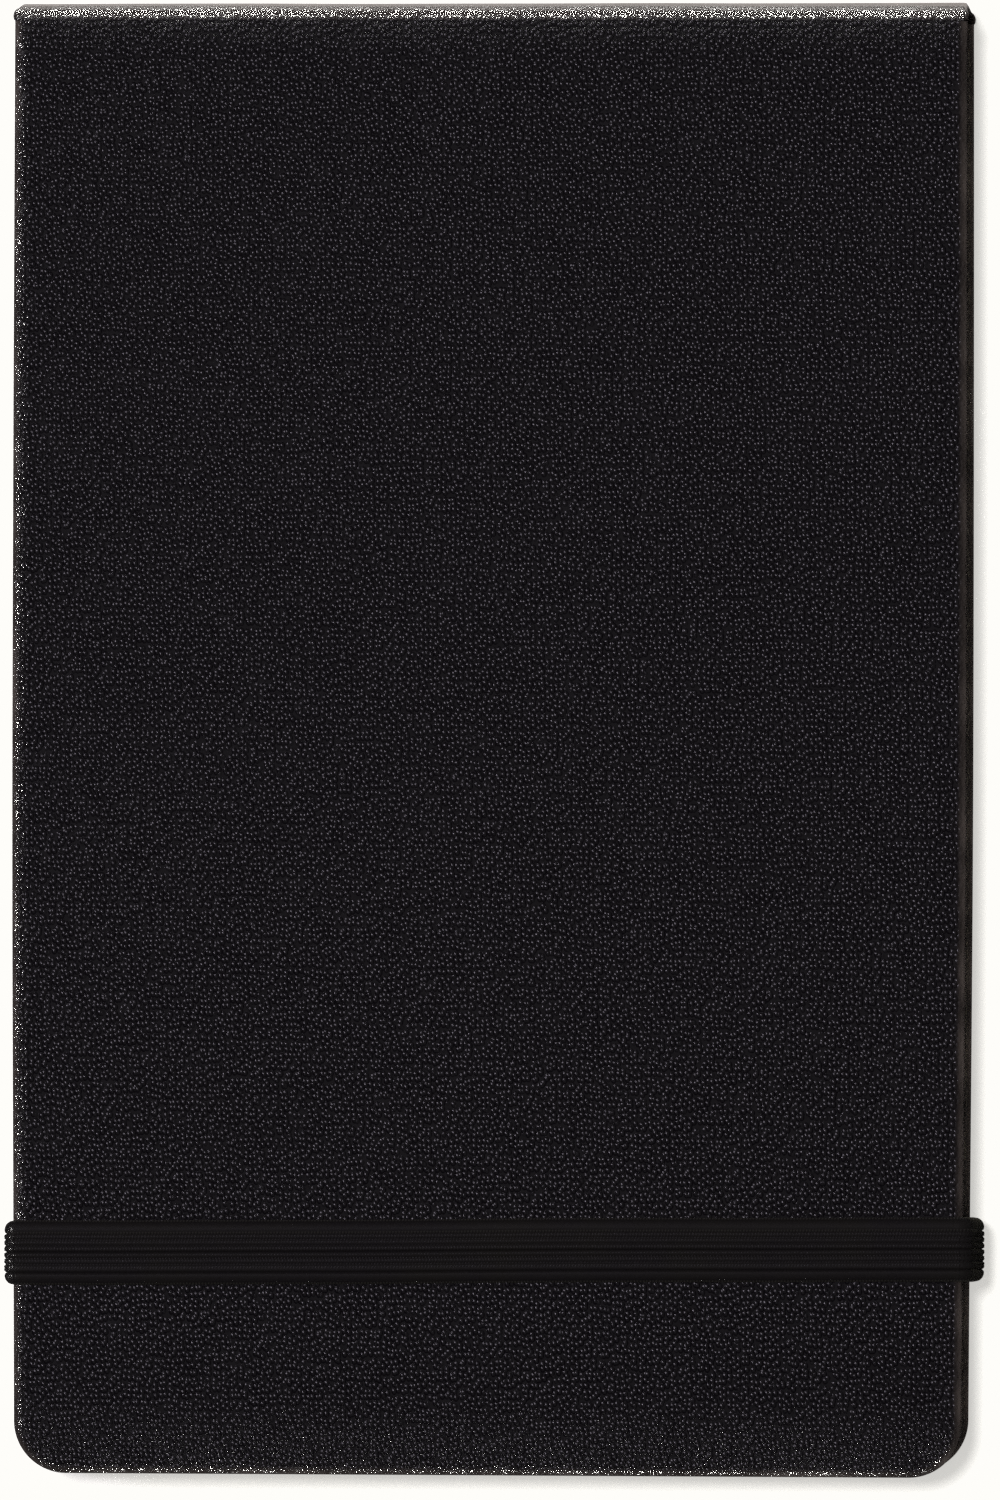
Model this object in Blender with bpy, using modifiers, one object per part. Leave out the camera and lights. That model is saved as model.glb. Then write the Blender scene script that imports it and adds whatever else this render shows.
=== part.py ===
"""A pocket hardback sketchbook that opens upwards, held shut by a flat elastic band.

The book lies closed on its back cover. +X is the reader's right, +Y runs from the pages' free
edge to the spine, and +Z comes out of the front cover. The origin is the centre of the book's
footprint, on the surface that it lies on. All sizes are in metres.
"""

from math import cos, pi, sin, sqrt

import bmesh
import bpy
from mathutils import Matrix

# Cover
COVER_WIDTH = 0.0908
BOOK_LENGTH = 0.1405  # free edge of the covers to the crown of the spine
CORNER_RADIUS = 0.0054
SKIN = 0.00035  # leatherette
BOARD = 0.0016
TURN_IN = 0.012  # leatherette folded over a board's inner face
HINGE_INSET = 0.0007  # crown of the spine to the line that both covers fold along
SPINE_BOW = 0.0002
ROLL_RADIUS = 0.0012  # rounded edge between a cover and the spine
SPINE_CARD = 0.00055
BOARD_SETBACK = 0.0002  # end of the leatherette to the end of the board, at the spine

# Paper
PAPER = 0.00019
ENDPAPER = 0.0002
PAGE_SIDE_MARGIN = 0.0015  # cover showing beyond the pages at each side
PAGE_FREE_MARGIN = 0.0016
PASTEDOWN_MARGIN = 0.0025
PAGE_CORNER_RADIUS = 0.0046
SIGNATURES = 5
SHEETS_PER_SIGNATURE = 4
LEAF_GAP = 0.000015
LEAF_PITCH = PAPER + LEAF_GAP
SIGNATURE_THICKNESS = 2 * SHEETS_PER_SIGNATURE * LEAF_PITCH
BLOCK_THICKNESS = SIGNATURES * SIGNATURE_THICKNESS
FOLD_TO_SPINE = 0.00225  # back of the folds to the crown of the spine

# Binding
STITCH_RADIUS = 0.00014
STITCH_STATIONS = (-0.036, -0.014, 0.014, 0.036)
STITCH_SWAY = 0.0005
MULL = 0.00018
MULL_WIDTH = 0.080

# Pocket inside the back cover
POCKET_WIDTH = 0.083
POCKET_LENGTH = 0.127
POCKET_MARGIN = 0.0035  # free edge of the cover to the pocket's fold
POCKET_CARD = 0.00035
GUSSET = 0.0004
GUSSET_WIDTH = 0.007
CLOTH_EDGE_WIDTH = 0.006
CLOTH_EDGE = 0.00012
POCKET_CORNER_RADIUS = 0.003
GUSSET_START = 0.004  # pocket's fold to the gusset
GUSSET_SETBACK = 0.001  # gusset to the mouth of the pocket

# Elastic band
BAND_WIDTH = 0.0062
BAND = 0.0009
BAND_FROM_EDGE = 0.0215  # free edge of the cover to the middle of the band
SLOT_X = 0.03045  # middle of the slot where an end of the band enters the back cover
TAB_X = 0.020  # inner end of the glued tab
SLOT_CLEARANCE = 0.0001
TAB_PROUD = 0.0003  # top of the glued tab above the board's inner face

# Gaps
LAYER_GAP = 0.00005
BACK_FACE_Z = BAND + 2 * LAYER_GAP

# Drawing
CORNER_STEPS = 6
ROLL_STEPS = 5
FOLD_STEPS = 8
CUT_PAST = 0.001  # a cutter runs this far past the face that it opens
EMPTY_SIZE = 0.01

FREE_EDGE_Y = -BOOK_LENGTH / 2
CROWN_Y = BOOK_LENGTH / 2
HINGE_Y = CROWN_Y - HINGE_INSET
SPINE_FACE_Y = CROWN_Y - SPINE_BOW
COVER_END_Y = SPINE_FACE_Y - ROLL_RADIUS - LAYER_GAP
BOARD_END_Y = COVER_END_Y - BOARD_SETBACK
FOLD_Y = CROWN_Y - FOLD_TO_SPINE
PAGE_EDGE_Y = FREE_EDGE_Y + PAGE_FREE_MARGIN
PAGE_HALF_WIDTH = COVER_WIDTH / 2 - PAGE_SIDE_MARGIN
BAND_Y = FREE_EDGE_Y + BAND_FROM_EDGE

LAYERS = (
    ("back_skin", SKIN),
    ("back_board", BOARD),
    ("back_turn_in", SKIN),
    ("back_pastedown", ENDPAPER),
    ("pocket_gusset", GUSSET),
    ("pocket_panel", POCKET_CARD),
    ("pocket_cloth", CLOTH_EDGE),
    ("back_flyleaf", PAPER),
    ("block", BLOCK_THICKNESS),
    ("front_flyleaf", PAPER),
    ("front_pastedown", ENDPAPER),
    ("front_turn_in", SKIN),
    ("front_board", BOARD),
    ("front_skin", SKIN),
    ("band", BAND),
)


def stack(layers, start, gap):
    """The bottom and top height of each layer, laid one on another."""
    levels, z = {}, start
    for name, thickness in layers:
        levels[name] = (z, z + thickness)
        z += thickness + gap
    return levels


LEVEL = stack(LAYERS, BACK_FACE_Z, LAYER_GAP)
FRONT_FACE_Z = LEVEL["front_skin"][1]
BACK_HINGE_Z = BACK_FACE_Z - LAYER_GAP
FRONT_HINGE_Z = FRONT_FACE_Z + LAYER_GAP


def clear_scene():
    for obj in list(bpy.data.objects):
        bpy.data.objects.remove(obj, do_unlink=True)


def make_collection(name):
    collection = bpy.data.collections.new(name)
    bpy.context.scene.collection.children.link(collection)
    return collection


def make_material(name, color, roughness):
    material = bpy.data.materials.new(name)
    material.use_nodes = True
    shader = material.node_tree.nodes["Principled BSDF"]
    shader.inputs["Base Color"].default_value = (*color, 1.0)
    shader.inputs["Roughness"].default_value = roughness
    shader.inputs["Metallic"].default_value = 0.0
    return material


COLORS = {
    "leatherette": ((0.012, 0.011, 0.012), 0.42),
    "board": ((0.34, 0.32, 0.29), 0.9),
    "endpaper": ((0.80, 0.76, 0.66), 0.85),
    "paper": ((0.86, 0.83, 0.74), 0.85),
    "pocket_card": ((0.78, 0.74, 0.64), 0.85),
    "cloth": ((0.03, 0.03, 0.03), 0.9),
    "elastic": ((0.014, 0.013, 0.014), 0.8),
    "thread": ((0.85, 0.83, 0.78), 0.7),
    "mull": ((0.82, 0.80, 0.72), 0.9),
    "spine_card": ((0.45, 0.38, 0.28), 0.9),
}


def finish_object(obj, material, parent, collection):
    """Names the finish of a piece and hangs it on the empty that it moves with."""
    obj.data.materials.clear()
    obj.data.materials.append(MATERIALS[material])
    for old in list(obj.users_collection):
        old.objects.unlink(obj)
    collection.objects.link(obj)
    if parent:
        obj.parent = parent
        obj.matrix_parent_inverse = parent.matrix_world.inverted()
    return obj


def hinge_line(name, y, z):
    """An empty on a fold line, for the pieces that turn about it."""
    empty = bpy.data.objects.new(name, None)
    empty.location = (0, y, z)
    empty.empty_display_size = EMPTY_SIZE
    PARTS.objects.link(empty)
    bpy.context.view_layer.update()
    return empty


def cover_outline(half_width, y0, y1, radius):
    """A rectangle whose two corners at y0 are rounded, anticlockwise from the square corner at +X."""
    points = [(half_width, y1), (-half_width, y1)]
    for center_x, start in ((radius - half_width, pi), (half_width - radius, 1.5 * pi)):
        for step in range(CORNER_STEPS + 1):
            angle = start + step * pi / 2 / CORNER_STEPS
            points.append((center_x + radius * cos(angle), y0 + radius + radius * sin(angle)))
    return points


def extruded(name, points, depth):
    """A flat outline given as (x, y) points, extruded half of depth each way, as a mesh."""
    curve = bpy.data.curves.new(name, "CURVE")
    curve.dimensions = "2D"
    curve.fill_mode = "BOTH"
    curve.extrude = depth / 2
    spline = curve.splines.new("POLY")
    spline.points.add(len(points) - 1)
    for spot, (x, y) in zip(spline.points, points):
        spot.co = (x, y, 0, 1)
    spline.use_cyclic_u = True
    return as_mesh(name, curve)


def as_mesh(name, curve):
    """A mesh object made from a curve, its loose caps welded."""
    source = bpy.data.objects.new(name + "_curve", curve)
    PARTS.objects.link(source)
    graph = bpy.context.evaluated_depsgraph_get()
    mesh = bpy.data.meshes.new_from_object(source.evaluated_get(graph))
    bpy.data.objects.remove(source, do_unlink=True)
    work = bmesh.new()
    work.from_mesh(mesh)
    bmesh.ops.remove_doubles(work, verts=work.verts, dist=1e-7)
    bmesh.ops.recalc_face_normals(work, faces=work.faces)
    work.to_mesh(mesh)
    work.free()
    mesh.name = name
    obj = bpy.data.objects.new(name, mesh)
    PARTS.objects.link(obj)
    return obj


def plate(name, half_width, y0, y1, level, radius):
    """A flat plate between two heights, its corners at y0 rounded."""
    obj = extruded(name, cover_outline(half_width, y0, y1, radius), level[1] - level[0])
    obj.location.z = (level[0] + level[1]) / 2
    return obj


def block(name, low, high):
    """A plain box between two corners."""
    bpy.ops.mesh.primitive_cube_add(size=1)
    obj = bpy.context.object
    obj.name = name
    obj.data.name = name
    obj.data.transform(Matrix.Diagonal([b - a for a, b in zip(low, high)] + [1]))
    obj.location = [(a + b) / 2 for a, b in zip(low, high)]
    return obj


def cut(obj, cutter):
    """Takes the cutter's shape out of the object."""
    modifier = obj.modifiers.new(cutter.name, "BOOLEAN")
    modifier.operation = "DIFFERENCE"
    modifier.solver = "EXACT"
    modifier.object = cutter
    cutter.hide_render = True
    cutter.display_type = "WIRE"
    for old in list(cutter.users_collection):
        old.objects.unlink(cutter)
    CUTTERS.objects.link(cutter)


def ribbon(name, lines, thickness):
    """A thin sheet through crossing lines, each a pair of end points, thickened about its middle."""
    mesh = bpy.data.meshes.new(name)
    work = bmesh.new()
    rows = [[work.verts.new(point) for point in line] for line in lines]
    for first, second in zip(rows, rows[1:]):
        work.faces.new((first[0], first[1], second[1], second[0]))
    work.to_mesh(mesh)
    work.free()
    obj = bpy.data.objects.new(name, mesh)
    PARTS.objects.link(obj)
    solidify = obj.modifiers.new("thickness", "SOLIDIFY")
    solidify.thickness = thickness
    solidify.offset = 0
    solidify.use_even_offset = True
    return obj


def arc(center, radius, start, end, steps):
    """Points along an arc in a plane, from one angle to another."""
    return [
        (
            center[0] + radius * cos(start + (end - start) * step / steps),
            center[1] + radius * sin(start + (end - start) * step / steps),
        )
        for step in range(steps + 1)
    ]


def leaf_lines(z, end_y):
    """A leaf's crossing lines at height z, from its free edge, with rounded corners, to end_y."""
    radius, lines = PAGE_CORNER_RADIUS, []
    for step in range(CORNER_STEPS + 1):
        inset = radius * (1 - sin(step * pi / 2 / CORNER_STEPS))
        half = PAGE_HALF_WIDTH - radius + sqrt(radius**2 - inset**2)
        y = PAGE_EDGE_Y + radius - inset
        lines.append(((-half, y, z), (half, y, z)))
    half = PAGE_HALF_WIDTH
    return lines + [((-half, end_y, z), (half, end_y, z))]


def flat_leaf(name, level, end_y, material, parent):
    obj = ribbon(name, leaf_lines((level[0] + level[1]) / 2, end_y), level[1] - level[0])
    return finish_object(obj, material, parent, PARTS)


def make_skin(side, outer, turn_in, parent):
    """Leatherette round one board: a tray whose edge folds over onto the board's inner face."""
    low, high = sorted((outer, turn_in))
    shell = (low[0], high[1])
    half = COVER_WIDTH / 2
    name = f"{side}_cover_skin"
    skin = plate(name, half, FREE_EDGE_Y, COVER_END_Y, shell, CORNER_RADIUS)
    past_end = COVER_END_Y + CUT_PAST
    hollow = plate(
        f"{side}_board_hollow",
        half - SKIN,
        FREE_EDGE_Y + SKIN,
        past_end,
        (low[1], high[0]),
        CORNER_RADIUS - SKIN,
    )
    window = block(
        f"{side}_turn_in_window",
        (-half + TURN_IN, FREE_EDGE_Y + TURN_IN, turn_in[0] - LAYER_GAP),
        (half - TURN_IN, past_end, turn_in[1] + CUT_PAST),
    )
    cut(skin, hollow)
    cut(skin, window)
    return finish_object(skin, "leatherette", parent, PARTS)


def make_board(side, level, parent):
    inset = SKIN + LAYER_GAP
    board = plate(
        f"{side}_board",
        COVER_WIDTH / 2 - inset,
        FREE_EDGE_Y + inset,
        BOARD_END_Y,
        level,
        CORNER_RADIUS - inset,
    )
    return finish_object(board, "board", parent, PARTS)


def make_pastedown(side, parent):
    half = COVER_WIDTH / 2 - PASTEDOWN_MARGIN
    sheet = plate(
        f"{side}_pastedown",
        half,
        FREE_EDGE_Y + PASTEDOWN_MARGIN,
        BOARD_END_Y,
        LEVEL[f"{side}_pastedown"],
        CORNER_RADIUS - PASTEDOWN_MARGIN,
    )
    return finish_object(sheet, "endpaper", parent, PARTS)


def make_cover(side, parent):
    make_board(side, LEVEL[f"{side}_board"], parent)
    make_skin(side, LEVEL[f"{side}_skin"], LEVEL[f"{side}_turn_in"], parent)
    make_pastedown(side, parent)


def cut_band_slots():
    """Slots through the back cover for the band's ends, and recesses for their glued tabs."""
    low_y = BAND_Y - BAND_WIDTH / 2 - SLOT_CLEARANCE
    high_y = BAND_Y + BAND_WIDTH / 2 + SLOT_CLEARANCE
    half_slot = BAND / 2 + SLOT_CLEARANCE
    board_top = LEVEL["back_board"][1]
    recess_z = board_top - BAND + TAB_PROUD
    past_top = board_top + SLOT_CLEARANCE
    for side, sign in (("left", -1), ("right", 1)):
        near, far = SLOT_X - half_slot, SLOT_X + half_slot
        x0, x1 = sorted((sign * near, sign * far))
        t0, t1 = sorted((sign * (TAB_X - SLOT_CLEARANCE), sign * far))
        for target in ("back_board", "back_cover_skin"):
            slot = block(f"{side}_slot_in_{target}", (x0, low_y, 0), (x1, high_y, past_top))
            cut(bpy.data.objects[target], slot)
        recess = block(f"{side}_tab_recess", (t0, low_y, recess_z), (t1, high_y, past_top))
        cut(bpy.data.objects["back_board"], recess)


def make_band_end(side, sign, parent):
    """The fixed end: across the back face, up through the slot and along its glued tab."""
    tab_low = LEVEL["back_board"][1] - BAND + TAB_PROUD + LAYER_GAP
    tab_high = LEVEL["back_turn_in"][1] - LAYER_GAP
    outer, inner = SLOT_X + BAND / 2, SLOT_X - BAND / 2
    edge = COVER_WIDTH / 2 - 2 * LAYER_GAP
    points = [
        (edge, 0),
        (edge, BAND),
        (outer, BAND),
        (outer, tab_high),
        (TAB_X, tab_high),
        (TAB_X, tab_low),
        (inner, tab_low),
        (inner, 0),
    ]
    obj = extruded(f"elastic_end_{side}", [(sign * x, z) for x, z in points], BAND_WIDTH)
    obj.rotation_euler.x = pi / 2
    obj.location.y = BAND_Y
    return finish_object(obj, "elastic", parent, PARTS)


def make_band_side(side, sign, parent):
    """The stretch that wraps a side of the closed book, from the back face to the front face."""
    bend = BAND / 2 + 2 * LAYER_GAP
    center_x = COVER_WIDTH / 2 - LAYER_GAP
    top_z = FRONT_FACE_Z - LAYER_GAP
    low_z = BACK_FACE_Z + LAYER_GAP
    path = arc((center_x, top_z), bend, pi / 2, 0, ROLL_STEPS) + arc(
        (center_x, low_z), bend, 0, -pi / 2, ROLL_STEPS
    )
    half = BAND_WIDTH / 2
    lines = [((sign * x, BAND_Y - half, z), (sign * x, BAND_Y + half, z)) for x, z in path]
    obj = ribbon(f"elastic_side_{side}", lines, BAND)
    return finish_object(obj, "elastic", parent, PARTS)


def make_band(back, released):
    """The band's moving front stretch, its two sides and its two fixed ends."""
    edge = COVER_WIDTH / 2 - 2 * LAYER_GAP
    half = BAND_WIDTH / 2
    front = block(
        "elastic_front",
        (-edge, BAND_Y - half, LEVEL["band"][0]),
        (edge, BAND_Y + half, LEVEL["band"][1]),
    )
    finish_object(front, "elastic", released, PARTS)
    for side, sign in (("left", -1), ("right", 1)):
        make_band_side(side, sign, released)
        make_band_end(side, sign, back)


def fold_lines(center_z, radius, upper_leaf):
    """A folded sheet's crossing lines: lower leaf, fold and, if asked for, upper leaf."""
    center_y = FOLD_Y - SIGNATURE_THICKNESS / 2
    lower = leaf_lines(center_z - radius, center_y)
    bend = arc((center_y, center_z), radius, -pi / 2, pi / 2, FOLD_STEPS)
    half = PAGE_HALF_WIDTH
    fold = [((-half, y, z), (half, y, z)) for y, z in bend[1:]]
    if not upper_leaf:
        return lower + fold
    upper = leaf_lines(center_z + radius, center_y)
    return lower + fold + upper[-2::-1]


def make_signature(number, parent):
    """Nested folded sheets. The first signature's upper leaves turn, so they are made apart."""
    top = LEVEL["block"][1] - (number - 1) * SIGNATURE_THICKNESS
    center_z = top - SIGNATURE_THICKNESS / 2
    for sheet in range(SHEETS_PER_SIGNATURE):
        radius = SIGNATURE_THICKNESS / 2 - LEAF_PITCH / 2 - sheet * LEAF_PITCH
        lines = fold_lines(center_z, radius, upper_leaf=number > 1)
        obj = ribbon(f"signature_{number}_sheet_{sheet + 1}", lines, PAPER)
        finish_object(obj, "paper", parent, PARTS)


def make_turning_leaves():
    """The first signature's upper leaves, each on its own empty on the front hinge line."""
    for number in range(1, SHEETS_PER_SIGNATURE + 1):
        top = LEVEL["block"][1] - LEAF_GAP / 2 - (number - 1) * LEAF_PITCH
        hinge = hinge_line(f"leaf_{number}_hinge", HINGE_Y, FRONT_HINGE_Z)
        end_y = FOLD_Y - SIGNATURE_THICKNESS / 2 - 2 * LAYER_GAP
        flat_leaf(f"leaf_{number}", (top - PAPER, top), end_y, "paper", hinge)


def make_stitches(parent):
    """Columns of link stitches that tie each signature's thread to the next, behind the folds."""
    y = FOLD_Y + STITCH_RADIUS + LAYER_GAP
    top = LEVEL["block"][1] - SIGNATURE_THICKNESS / 2
    for number, x in enumerate(STITCH_STATIONS, 1):
        curve = bpy.data.curves.new(f"sewing_stitch_{number}", "CURVE")
        curve.dimensions = "3D"
        curve.bevel_depth = STITCH_RADIUS
        curve.bevel_resolution = 1
        curve.use_fill_caps = True
        spline = curve.splines.new("POLY")
        spline.points.add(2 * (SIGNATURES - 1))
        for index, spot in enumerate(spline.points):
            sway = STITCH_SWAY if index % 2 else 0
            spot.co = (x + sway, y, top - index * SIGNATURE_THICKNESS / 2, 1)
        finish_object(as_mesh(f"sewing_stitch_{number}", curve), "thread", parent, PARTS)


def make_mull(parent):
    """The gauze glued over the stitches."""
    low_y = FOLD_Y + 2 * STITCH_RADIUS + 2 * LAYER_GAP
    low_z, high_z = LEVEL["block"]
    half = MULL_WIDTH / 2
    mull = block(
        "spine_mull",
        (-half, low_y, low_z + LAYER_GAP),
        (half, low_y + MULL, high_z - LAYER_GAP),
    )
    finish_object(mull, "mull", parent, PARTS)


def make_spine(parent):
    """The card that stiffens the spine, and the leatherette that rolls over it to both covers."""
    half = COVER_WIDTH / 2
    inner_y = SPINE_FACE_Y - SKIN - LAYER_GAP
    low_z, high_z = BACK_FACE_Z + ROLL_RADIUS, FRONT_FACE_Z - ROLL_RADIUS
    card = block(
        "spine_card",
        (-half + 2 * SKIN, inner_y - SPINE_CARD, low_z),
        (half - 2 * SKIN, inner_y, high_z),
    )
    finish_object(card, "spine_card", parent, PARTS)

    radius = ROLL_RADIUS - SKIN / 2
    center_y = SPINE_FACE_Y - ROLL_RADIUS
    bow = [
        (
            SPINE_FACE_Y - SKIN / 2 + SPINE_BOW * sin(pi * step / FOLD_STEPS),
            low_z + (high_z - low_z) * step / FOLD_STEPS,
        )
        for step in range(1, FOLD_STEPS)
    ]
    path = (
        arc((center_y, low_z), radius, -pi / 2, 0, ROLL_STEPS)
        + bow
        + arc((center_y, high_z), radius, 0, pi / 2, ROLL_STEPS)
    )
    lines = [((-half, y, z), (half, y, z)) for y, z in path]
    finish_object(ribbon("spine_skin", lines, SKIN), "leatherette", parent, PARTS)


def make_pocket(back, panel_hinge):
    """A card pocket on the back pastedown, with folded cloth gussets and a cloth-bound mouth."""
    half = POCKET_WIDTH / 2
    y0 = FREE_EDGE_Y + POCKET_MARGIN
    y1 = y0 + POCKET_LENGTH
    low, high = LEVEL["pocket_gusset"]
    for side, sign in (("left", -1), ("right", 1)):
        x0, x1 = sorted((sign * (half - GUSSET_WIDTH), sign * (half - 2 * LAYER_GAP)))
        gusset = block(f"pocket_gusset_{side}", (x0, y0 + GUSSET_START, low), (x1, y1 - GUSSET_SETBACK, high))
        finish_object(gusset, "cloth", back, PARTS)
    panel = plate("pocket_panel", half, y0, y1, LEVEL["pocket_panel"], POCKET_CORNER_RADIUS)
    finish_object(panel, "pocket_card", panel_hinge, PARTS)
    low, high = LEVEL["pocket_cloth"]
    mouth = block("pocket_mouth_cloth", (-half, y1 - CLOTH_EDGE_WIDTH, low), (half, y1, high))
    finish_object(mouth, "cloth", panel_hinge, PARTS)


def build():
    back = hinge_line("back_cover_frame", 0, 0)
    spine_hinge = hinge_line("text_block_hinge", HINGE_Y, BACK_HINGE_Z)
    cover_hinge = hinge_line("front_cover_hinge", HINGE_Y, FRONT_HINGE_Z)
    flyleaf_hinge = hinge_line("front_flyleaf_hinge", HINGE_Y, FRONT_HINGE_Z)
    pocket_y = FREE_EDGE_Y + POCKET_MARGIN
    pocket_hinge = hinge_line("pocket_hinge", pocket_y, LEVEL["pocket_panel"][0])
    released = hinge_line("elastic_guide", BAND_Y, LEVEL["band"][0])

    make_cover("back", back)
    make_cover("front", cover_hinge)
    cut_band_slots()
    make_pocket(back, pocket_hinge)
    flat_leaf("back_flyleaf", LEVEL["back_flyleaf"], FOLD_Y, "endpaper", spine_hinge)
    flat_leaf("front_flyleaf", LEVEL["front_flyleaf"], FOLD_Y, "endpaper", flyleaf_hinge)
    for number in range(1, SIGNATURES + 1):
        make_signature(number, spine_hinge)
    make_turning_leaves()
    make_stitches(spine_hinge)
    make_mull(spine_hinge)
    make_spine(spine_hinge)
    make_band(back, released)


clear_scene()
PARTS = make_collection("sketchbook")
CUTTERS = make_collection("cutters")
MATERIALS = {name: make_material(name, *look) for name, look in COLORS.items()}
build()
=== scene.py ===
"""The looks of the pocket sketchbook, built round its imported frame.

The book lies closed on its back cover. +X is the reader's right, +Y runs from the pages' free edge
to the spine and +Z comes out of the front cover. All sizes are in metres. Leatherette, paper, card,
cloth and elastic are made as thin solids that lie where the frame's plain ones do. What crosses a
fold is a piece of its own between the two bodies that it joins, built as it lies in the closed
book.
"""

from math import cos, pi, radians, sin, sqrt, tan

import bmesh
import bpy
import numpy as np
from mathutils import Matrix, Vector, noise


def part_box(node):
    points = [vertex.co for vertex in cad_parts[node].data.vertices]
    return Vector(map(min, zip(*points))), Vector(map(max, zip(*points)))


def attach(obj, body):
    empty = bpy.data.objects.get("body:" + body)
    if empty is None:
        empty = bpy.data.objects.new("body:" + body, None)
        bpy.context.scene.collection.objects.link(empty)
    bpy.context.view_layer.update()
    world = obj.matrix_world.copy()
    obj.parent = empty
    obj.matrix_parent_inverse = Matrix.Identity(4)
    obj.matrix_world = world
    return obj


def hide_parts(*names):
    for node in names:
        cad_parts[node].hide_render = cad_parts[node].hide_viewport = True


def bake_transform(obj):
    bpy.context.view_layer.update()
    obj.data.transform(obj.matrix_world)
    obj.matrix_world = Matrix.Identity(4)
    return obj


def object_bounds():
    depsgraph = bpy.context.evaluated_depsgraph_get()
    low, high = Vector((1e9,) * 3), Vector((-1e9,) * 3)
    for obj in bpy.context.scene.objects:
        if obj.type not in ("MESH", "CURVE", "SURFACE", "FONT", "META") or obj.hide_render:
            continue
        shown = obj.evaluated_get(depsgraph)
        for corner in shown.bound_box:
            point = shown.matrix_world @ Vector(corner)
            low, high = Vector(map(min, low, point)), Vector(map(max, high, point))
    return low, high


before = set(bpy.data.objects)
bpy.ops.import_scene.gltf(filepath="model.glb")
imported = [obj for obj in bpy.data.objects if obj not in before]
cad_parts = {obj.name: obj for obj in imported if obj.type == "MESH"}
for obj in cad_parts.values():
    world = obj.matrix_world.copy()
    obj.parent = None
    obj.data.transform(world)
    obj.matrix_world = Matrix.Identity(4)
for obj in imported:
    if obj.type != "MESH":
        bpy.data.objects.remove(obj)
cad_low, cad_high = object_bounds()

MM = 0.001

# ---- places, from the frame

FRONT_LOW, FRONT_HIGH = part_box("front_cover_skin")
BACK_LOW, BACK_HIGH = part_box("back_cover_skin")
SPINE_LOW, SPINE_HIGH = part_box("spine_skin")
BAND_LOW, BAND_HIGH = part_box("elastic_front")
LEAF_LOW, LEAF_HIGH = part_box("leaf_1")
FLYLEAF_LOW, FLYLEAF_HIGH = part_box("front_flyleaf")

HALF_WIDTH = FRONT_HIGH.x
FREE_EDGE_Y = FRONT_LOW.y
COVER_END_Y = FRONT_HIGH.y
CROWN_Y = SPINE_HIGH.y
FRONT_Z = FRONT_HIGH.z
BACK_Z = BACK_LOW.z
MIDDLE_Z = (FRONT_Z + BACK_Z) / 2
ROLL_CENTER_Y = SPINE_LOW.y
PAGE_HALF_WIDTH = LEAF_HIGH.x
PAGE_EDGE_Y = LEAF_LOW.y
BAND_Y = (BAND_LOW.y + BAND_HIGH.y) / 2

# ---- sizes that the frame doesn't give

CORNER_RADIUS = 5.0 * MM
PAGE_CORNER_RADIUS = 4.6 * MM
SKIN = 0.3 * MM  # thickness of the leatherette, and of each sheet material below
PAPER = 0.18 * MM
ENDPAPER = 0.19 * MM
CARD = 0.33 * MM
CLOTH = 0.1 * MM
TURN_IN = 12 * MM
PASTEDOWN_DIP = 0.3 * MM
OUTER_EDGE_RADIUS = 0.8 * MM
SPINE_EDGE_RADIUS = 0.55 * MM
INNER_EDGE_RADIUS = 0.35 * MM
ROLL_RADIUS = 1.2 * MM  # of the leatherette where it rolls over the spine's edge
SPINE_FLAP = 8 * MM  # folded in at the spine's two ends
SPINE_FLAP_DEPTH = 0.78 * MM
SPINE_FLARE = 0.16 * MM
SPINE_BOW = 0.62 * MM  # how far the spine swells over the sewn folds
SPINE_SKEW = 0.1 * MM  # how much more it swells at its right end
SPINE_GROOVE = 0.2 * MM
SIDE_FLARE = 0.2 * MM  # how much wider each side is from mid-length to the spine
SIDE_BOW = 0.12 * MM

CORNER_STEPS = 24
SIDE_STEPS = 84
END_STEPS = 52


# ---- mesh tools


def smooth_step(value):
    value = np.clip(value, 0, 1)
    return value * value * (3 - 2 * value)


def drift(place, wavelength, height, seed):
    """Smooth noise along a line: the same for the same place."""
    return height * noise.noise(Vector((place / wavelength, seed * 7.31, seed * 3.17)))


def drifts(places, wavelength, height, seed):
    return np.array([drift(float(place), wavelength, height, seed) for place in places])


def unevenness(x, y, wavelength, height, seed):
    """Smooth noise over a face."""
    return height * noise.noise(Vector((x / wavelength, y / wavelength, seed * 5.7)))


def grid_faces(rows, columns, around=False):
    """Quads between neighbouring rows of points, each row closed on itself if around is set."""
    index = np.arange(rows * columns).reshape(rows, columns)
    if around:
        index = np.hstack([index, index[:, :1]])
    corners = (index[:-1, :-1], index[:-1, 1:], index[1:, 1:], index[1:, :-1])
    return np.stack(corners, axis=-1).reshape(-1, 4).tolist()


def tube_faces(rows, columns):
    """Quads round a closed section that is swept, with a cap at each end."""
    last = (rows - 1) * columns
    caps = [list(range(columns)), list(range(last, last + columns))]
    return grid_faces(rows, columns, around=True) + caps


def add_object(name, data):
    obj = bpy.data.objects.new(name, data)
    bpy.context.scene.collection.objects.link(obj)
    return obj


def evaluated_mesh(obj):
    graph = bpy.context.evaluated_depsgraph_get()
    return bpy.data.meshes.new_from_object(obj.evaluated_get(graph))


def apply_modifiers(obj):
    mesh = evaluated_mesh(obj)
    obj.modifiers.clear()
    plain = obj.data
    obj.data = mesh
    bpy.data.meshes.remove(plain)
    mesh.name = obj.name


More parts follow.
